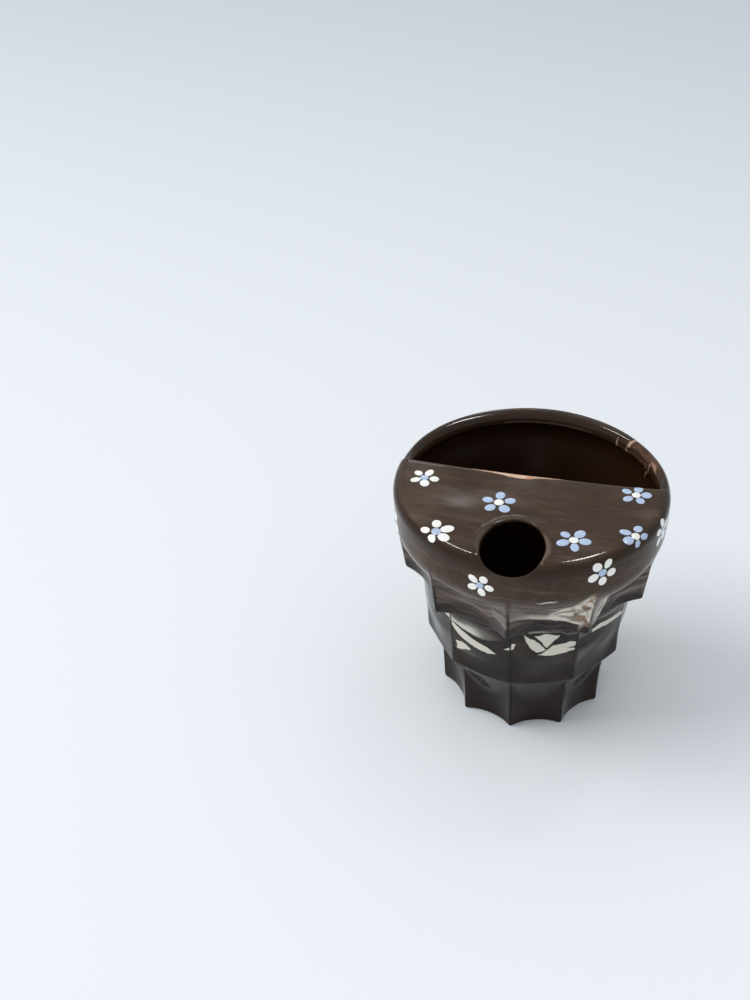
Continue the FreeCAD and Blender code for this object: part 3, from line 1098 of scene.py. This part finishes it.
# %% Inputs of the flower recipe
FLOWER_SIZES = {"Petal length": 1.6, "Petal width": 1.25, "Reach": 2.95, "Heart": 1.25}
PAINT_THICKNESS = 0.08
flower = bpy.data.node_groups.new("painted_flower", "GeometryNodeTree")
sockets = [(name, "NodeSocketFloat", size * MM) for name, size in FLOWER_SIZES.items()]
sockets += [("Thickness", "NodeSocketFloat", PAINT_THICKNESS * MM), ("Seed", "NodeSocketInt", 1)]
for name, kind, value in sockets:
    made = flower.interface.new_socket(name, in_out="INPUT", socket_type=kind)
    made.default_value = value
for name in ("Petal paint", "Heart paint"):
    flower.interface.new_socket(name, in_out="INPUT", socket_type="NodeSocketMaterial")
flower.interface.new_socket("Geometry", in_out="OUTPUT", socket_type="NodeSocketGeometry")
nodes = flower.nodes
given = nodes.new("NodeGroupInput")
result = nodes.new("NodeGroupOutput")
IDENTIFIERS = {item.name: item.identifier for item in flower.interface.items_tree
               if item.in_out == "INPUT"}
print("flower inputs:", list(IDENTIFIERS))

# %% [markdown]
# Three helpers grow the tree: one adds any node, one draws a random number that changes with the seed,
# and one makes a touch of paint, a ball pressed flat.


# %% Helpers of the flower recipe
def gn(kind, settings=None, inputs=None):
    made = nodes.new(kind)
    for name, value in (settings or {}).items():
        setattr(made, name, value)
    for key, value in (inputs or {}).items():
        if isinstance(value, bpy.types.NodeSocket):
            flower.links.new(value, made.inputs[key])
        else:
            made.inputs[key].default_value = value
    return made


def chance(low, high, seed_shift, kind="FLOAT"):
    seed = gn("ShaderNodeMath", {"operation": "ADD"}, {0: given.outputs["Seed"], 1: seed_shift})
    made = gn("FunctionNodeRandomValue", {"data_type": kind}, {"Seed": seed.outputs[0]})
    ports = [s for s in made.inputs if s.enabled and s.name in ("Min", "Max")]
    ports[0].default_value, ports[1].default_value = low, high
    return [s for s in made.outputs if s.enabled][0]


def dome(length, width, thickness):
    ball = gn("GeometryNodeMeshUVSphere", None, {"Segments": 20, "Rings": 10, "Radius": 1.0})
    sizes = gn("ShaderNodeCombineXYZ", None, {0: length, 1: width, 2: thickness})
    return gn("GeometryNodeTransform", None, {"Geometry": ball.outputs[0],
                                              "Scale": sizes.outputs[0]}).outputs[0]


# %% [markdown]
# A circle of five points carries the petals. Each point is shifted a little, its petal points outwards
# and is scaled at random, and Realize Instances makes real faces of them, because an export drops
# instances. The heart is joined to them last.

# %% Grow one flower
PETALS, HAND_SHIFT = 5, 0.17 * MM
circle = gn("GeometryNodeMeshCircle", None, {"Vertices": PETALS, "Radius": given.outputs["Reach"]})
shift = gn("GeometryNodeSetPosition", None,
           {"Geometry": circle.outputs[0],
            "Offset": chance((-HAND_SHIFT, -HAND_SHIFT, 0), (HAND_SHIFT, HAND_SHIFT, 0), 1,
                             "FLOAT_VECTOR")})
spot = gn("GeometryNodeInputPosition")
outward = gn("FunctionNodeAlignRotationToVector", {"axis": "X", "pivot_axis": "Z"},
             {"Vector": spot.outputs[0]})
petals = gn("GeometryNodeInstanceOnPoints", None,
            {"Points": shift.outputs[0],
             "Instance": dome(given.outputs["Petal length"], given.outputs["Petal width"],
                              given.outputs["Thickness"]),
             "Rotation": outward.outputs[0],
             "Scale": chance((0.86, 0.84, 1.0), (1.12, 1.14, 1.0), 2, "FLOAT_VECTOR")})
petals = gn("GeometryNodeRealizeInstances", None, {"Geometry": petals.outputs[0]})
petals = gn("GeometryNodeSetMaterial", None, {"Geometry": petals.outputs[0],
                                              "Material": given.outputs["Petal paint"]})
heart = dome(given.outputs["Heart"], given.outputs["Heart"], given.outputs["Thickness"])
heart = gn("GeometryNodeSetMaterial", None, {"Geometry": heart,
                                             "Material": given.outputs["Heart paint"]})
both = gn("GeometryNodeJoinGeometry")
flower.links.new(petals.outputs[0], both.inputs[0])
flower.links.new(heart.outputs[0], both.inputs[0])
flower.links.new(both.outputs[0], result.inputs[0])
print("nodes in the flower:", len(nodes))

# %% [markdown]
# White and pale blue underglaze are plain, opaque paints under a shiny glaze. Each flower is grown
# flat on a carrier that is thrown away, with the recipe's inputs set for its size.


# %% Paints, and one flower grown
def plain_paint(name, color, roughness=0.2):
    made = bpy.data.materials.new(name)
    made.use_nodes = True
    made.node_tree.nodes["Principled BSDF"].inputs["Base Color"].default_value = color
    made.node_tree.nodes["Principled BSDF"].inputs["Roughness"].default_value = roughness
    return made


white_paint = plain_paint("white_underglaze", paint_color(250, 249, 243))
blue_paint = plain_paint("blue_underglaze", paint_color(182, 200, 228))


def grow(seed, size, petal_paint, heart_paint):
    carrier = bpy.data.objects.new("carrier", bpy.data.meshes.new("carrier"))
    bpy.context.scene.collection.objects.link(carrier)
    modifier = carrier.modifiers.new("flower", "NODES")
    modifier.node_group = flower
    for name, value in FLOWER_SIZES.items():
        modifier[IDENTIFIERS[name]] = value * size * MM
    modifier[IDENTIFIERS["Thickness"]] = PAINT_THICKNESS * MM
    modifier[IDENTIFIERS["Seed"]] = seed
    modifier[IDENTIFIERS["Petal paint"]] = petal_paint
    modifier[IDENTIFIERS["Heart paint"]] = heart_paint
    done = carrier.evaluated_get(bpy.context.evaluated_depsgraph_get())
    mesh = bpy.data.meshes.new_from_object(done)
    bpy.data.objects.remove(carrier)
    return mesh


# %% [markdown]
# Then the flower is pressed onto the cup, as paint lies on it: every point goes to the nearest place
# on the skin, and keeps its own thickness along the skin's normal there.

# %% Press a flower on
cup_work = bmesh.new()
cup_work.from_mesh(cup.data)
cup_tree = BVHTree.FromBMesh(cup_work)


def press(mesh, target, turn):
    spot, normal, _, _ = cup_tree.find_nearest(Vector(target) * MM)
    side = Vector((0, 0, 1)).cross(normal)
    side = Vector((1, 0, 0)) if side.length < 0.3 else side.normalized()
    up = normal.cross(side)
    c, s = math.cos(math.radians(turn)), math.sin(math.radians(turn))
    for vertex in mesh.vertices:
        a = c * vertex.co.x - s * vertex.co.y
        b = s * vertex.co.x + c * vertex.co.y
        lift = vertex.co.z
        ground, facing, _, _ = cup_tree.find_nearest(spot + side * a + up * b)
        vertex.co = ground + facing * lift


# %% [markdown]
# Each flower has a place, a turn in degrees and a size. Those on the lid are typed as points, those on
# the band as a bearing and a height. White ones have a blue heart, and blue ones a white heart.


# %% Paint the flowers
def at_wall(degrees, level, radius):
    return (radius * math.sin(math.radians(degrees)), -radius * math.cos(math.radians(degrees)),
            level)


FIRST_SEED = 3
WHITE_FLOWERS = [((-34.2, -6.3, 84.6), -3, 1.08), ((-24.6, -32.6, 84.2), 31, 1.26),
                 (at_wall(-11.5, 74.8, 44), -8, 0.97), (at_wall(37.4, 79.2, 44), -16, 1.14),
                 (at_wall(-68, 74.5, 44), 50, 1.1), (at_wall(75, 79.5, 44), 12, 1.1),
                 (at_wall(112, 75.0, 44), 33, 1.0), (at_wall(150, 78.5, 44), 62, 1.1),
                 (at_wall(-105, 78.5, 44), 0, 1.05), (at_wall(-172, 75.0, 44), 25, 1.0)]
BLUE_FLOWERS = [((-8.5, -14.2, 84.6), 20, 1.25), ((33.0, -1.4, 84.6), 10, 1.12),
                ((16.9, -28.0, 84.6), -4, 1.2), (at_wall(57.7, 84.2, 41.3), 15, 1.15),
                (at_wall(93, 76.5, 44), 8, 1.05), (at_wall(131, 79.5, 44), 40, 1.1),
                (at_wall(-86, 76.0, 44), 22, 1.1), (at_wall(-140, 76.0, 44), 55, 1.0),
                (at_wall(172, 79.0, 44), 15, 1.1)]
painted = bmesh.new()
for number, (target, turn, size) in enumerate(WHITE_FLOWERS + BLUE_FLOWERS):
    paints = [white_paint, blue_paint]
    if number >= len(WHITE_FLOWERS):
        paints.reverse()
    mesh = grow(number + FIRST_SEED, size, *paints)
    press(mesh, target, turn)
    for polygon in mesh.polygons:
        is_blue = mesh.materials[polygon.material_index] == blue_paint
        polygon.material_index = int(is_blue)
    painted.from_mesh(mesh)
flowers_mesh = bpy.data.meshes.new("painted_flowers")
painted.to_mesh(flowers_mesh)
painted.free()
cup_work.free()
flowers_mesh.materials.append(white_paint)
flowers_mesh.materials.append(blue_paint)
flowers_mesh.polygons.foreach_set("use_smooth", [True] * len(flowers_mesh.polygons))
flowers = bpy.data.objects.new("painted_flowers", flowers_mesh)
bpy.context.scene.collection.objects.link(flowers)
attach(flowers, "root")
print("flowers:", number + 1, "with", len(flowers_mesh.polygons), "faces")

# %% [markdown]
# The cup stands on a plain pale floor. A wide floor under one soft lamp looks evenly bright, so a
# painted falloff of light darkens its colour slowly towards the back, by its own coordinates and not
# by the camera's.

# %% Floor
FLOOR_HALF = 4
FRONT_COLOR, BACK_FALLOFF_COLOR = (0.87, 0.905, 0.93, 1.0), (0.60, 0.64, 0.675, 1.0)
floor_mesh = bpy.data.meshes.new("floor")
corners = [(FLOOR_HALF * a, FLOOR_HALF * b, 0) for a, b in ((-1, -1), (1, -1), (1, 1), (-1, 1))]
floor_mesh.from_pydata(corners, [], [(0, 1, 2, 3)])
floor = bpy.data.objects.new("floor", floor_mesh)
bpy.context.scene.collection.objects.link(floor)
paint = bpy.data.materials.new("pale_floor")
paint.use_nodes = True
Flow.tree = paint.node_tree
floor_y = part(Flow.make("ShaderNodeTexCoord", out="Object"), "Y")
# painted falloff of light: darker towards the back
floor_light_falloff = blend(rise(floor_y, -0.1, 0.9), FRONT_COLOR, BACK_FALLOFF_COLOR)
floor_shader = paint.node_tree.nodes["Principled BSDF"]
paint.node_tree.links.new(floor_light_falloff.socket, floor_shader.inputs["Base Color"])
floor_shader.inputs["Roughness"].default_value = 0.6
floor_mesh.materials.append(paint)
print("floor:", 2 * FLOOR_HALF, "m wide")

# %% [markdown]
# The camera stands where a photographer would hold it, in front of the cup, looking down into it. Its
# place and turn were fitted to the ends of the ridges, which make good marks: they lie at known
# bearings and heights. Three axes give the matrix, without any constraint.

# %% Camera
IMAGE_HEIGHT, FOCAL_PIXELS, SENSOR = 1000, 1363.8, 36.0
CAMERA_PLACE = Vector((45.6, -352.4, 344.5)) * MM
LOOK_DOWN = math.radians(37.09)
ROLL = math.radians(-2.09)
CUP_TURN = math.radians(-15.6)
turn_back = Matrix.Rotation(-CUP_TURN, 3, "Z")
forward = turn_back @ Vector((0, math.cos(LOOK_DOWN), -math.sin(LOOK_DOWN)))
level = turn_back @ Vector((1, 0, 0))
above = turn_back @ Vector((0, math.sin(LOOK_DOWN), math.cos(LOOK_DOWN)))
right = math.cos(ROLL) * level + math.sin(ROLL) * above
up = -math.sin(ROLL) * level + math.cos(ROLL) * above
camera = bpy.data.objects.new("camera", bpy.data.cameras.new("camera"))
bpy.context.scene.collection.objects.link(camera)
pose = Matrix((right, up, -forward)).transposed().to_4x4()
pose.translation = CAMERA_PLACE
camera.matrix_world = pose
camera.data.sensor_width = SENSOR
camera.data.lens = SENSOR * FOCAL_PIXELS / IMAGE_HEIGHT
camera.data.clip_start = 0.01
bpy.context.scene.camera = camera
print("lens:", round(camera.data.lens, 1), "mm")

# %% [markdown]
# A grey-white world gives most of the light, and one large softbox far to the left models the form.
# Its mirror image would cover the whole lid with haze, so it is kept out of reflections. Three small
# lamps do the opposite: they light nothing, and only leave the bright lines on rim and shoulder.

# %% World and lamps
world = bpy.data.worlds.new("studio")
world.use_nodes = True
world.node_tree.nodes["Background"].inputs["Color"].default_value = (0.93, 0.96, 1.0, 1)
world.node_tree.nodes["Background"].inputs["Strength"].default_value = 0.68
bpy.context.scene.world = world
AIM = Vector((0, 0, 0.08))


def softbox(name, spot, size, power, only_gloss=False):
    lamp = bpy.data.objects.new(name, bpy.data.lights.new(name, "AREA"))
    lamp.data.shape = "RECTANGLE"
    lamp.data.size, lamp.data.size_y = size
    lamp.data.energy = power
    lamp.location = spot
    lamp.rotation_euler = (AIM - Vector(spot)).to_track_quat("-Z", "Y").to_euler()
    lamp.visible_diffuse = not only_gloss
    lamp.visible_glossy = only_gloss
    bpy.context.scene.collection.objects.link(lamp)


def toward(bearing_degrees, up_degrees, distance=2.0):
    """A place seen from the cup at a bearing from +Y towards +X, and at an elevation."""
    turn, lift = math.radians(bearing_degrees), math.radians(up_degrees)
    return (distance * math.sin(turn) * math.cos(lift), distance * math.cos(turn) * math.cos(lift),
            distance * math.sin(lift) + AIM.z)


softbox("key_lamp", (-2.1, -0.3, 1.9), (1.9, 1.9), 44)
softbox("window_gloss", toward(-12, 31.5), (0.30, 0.13), 0.5, only_gloss=True)
softbox("right_gloss", toward(22, 64), (0.20, 0.30), 14, only_gloss=True)
softbox("left_gloss", toward(-43, 60), (0.09, 0.30), 7, only_gloss=True)
bpy.context.scene.view_settings.view_transform = "Standard"
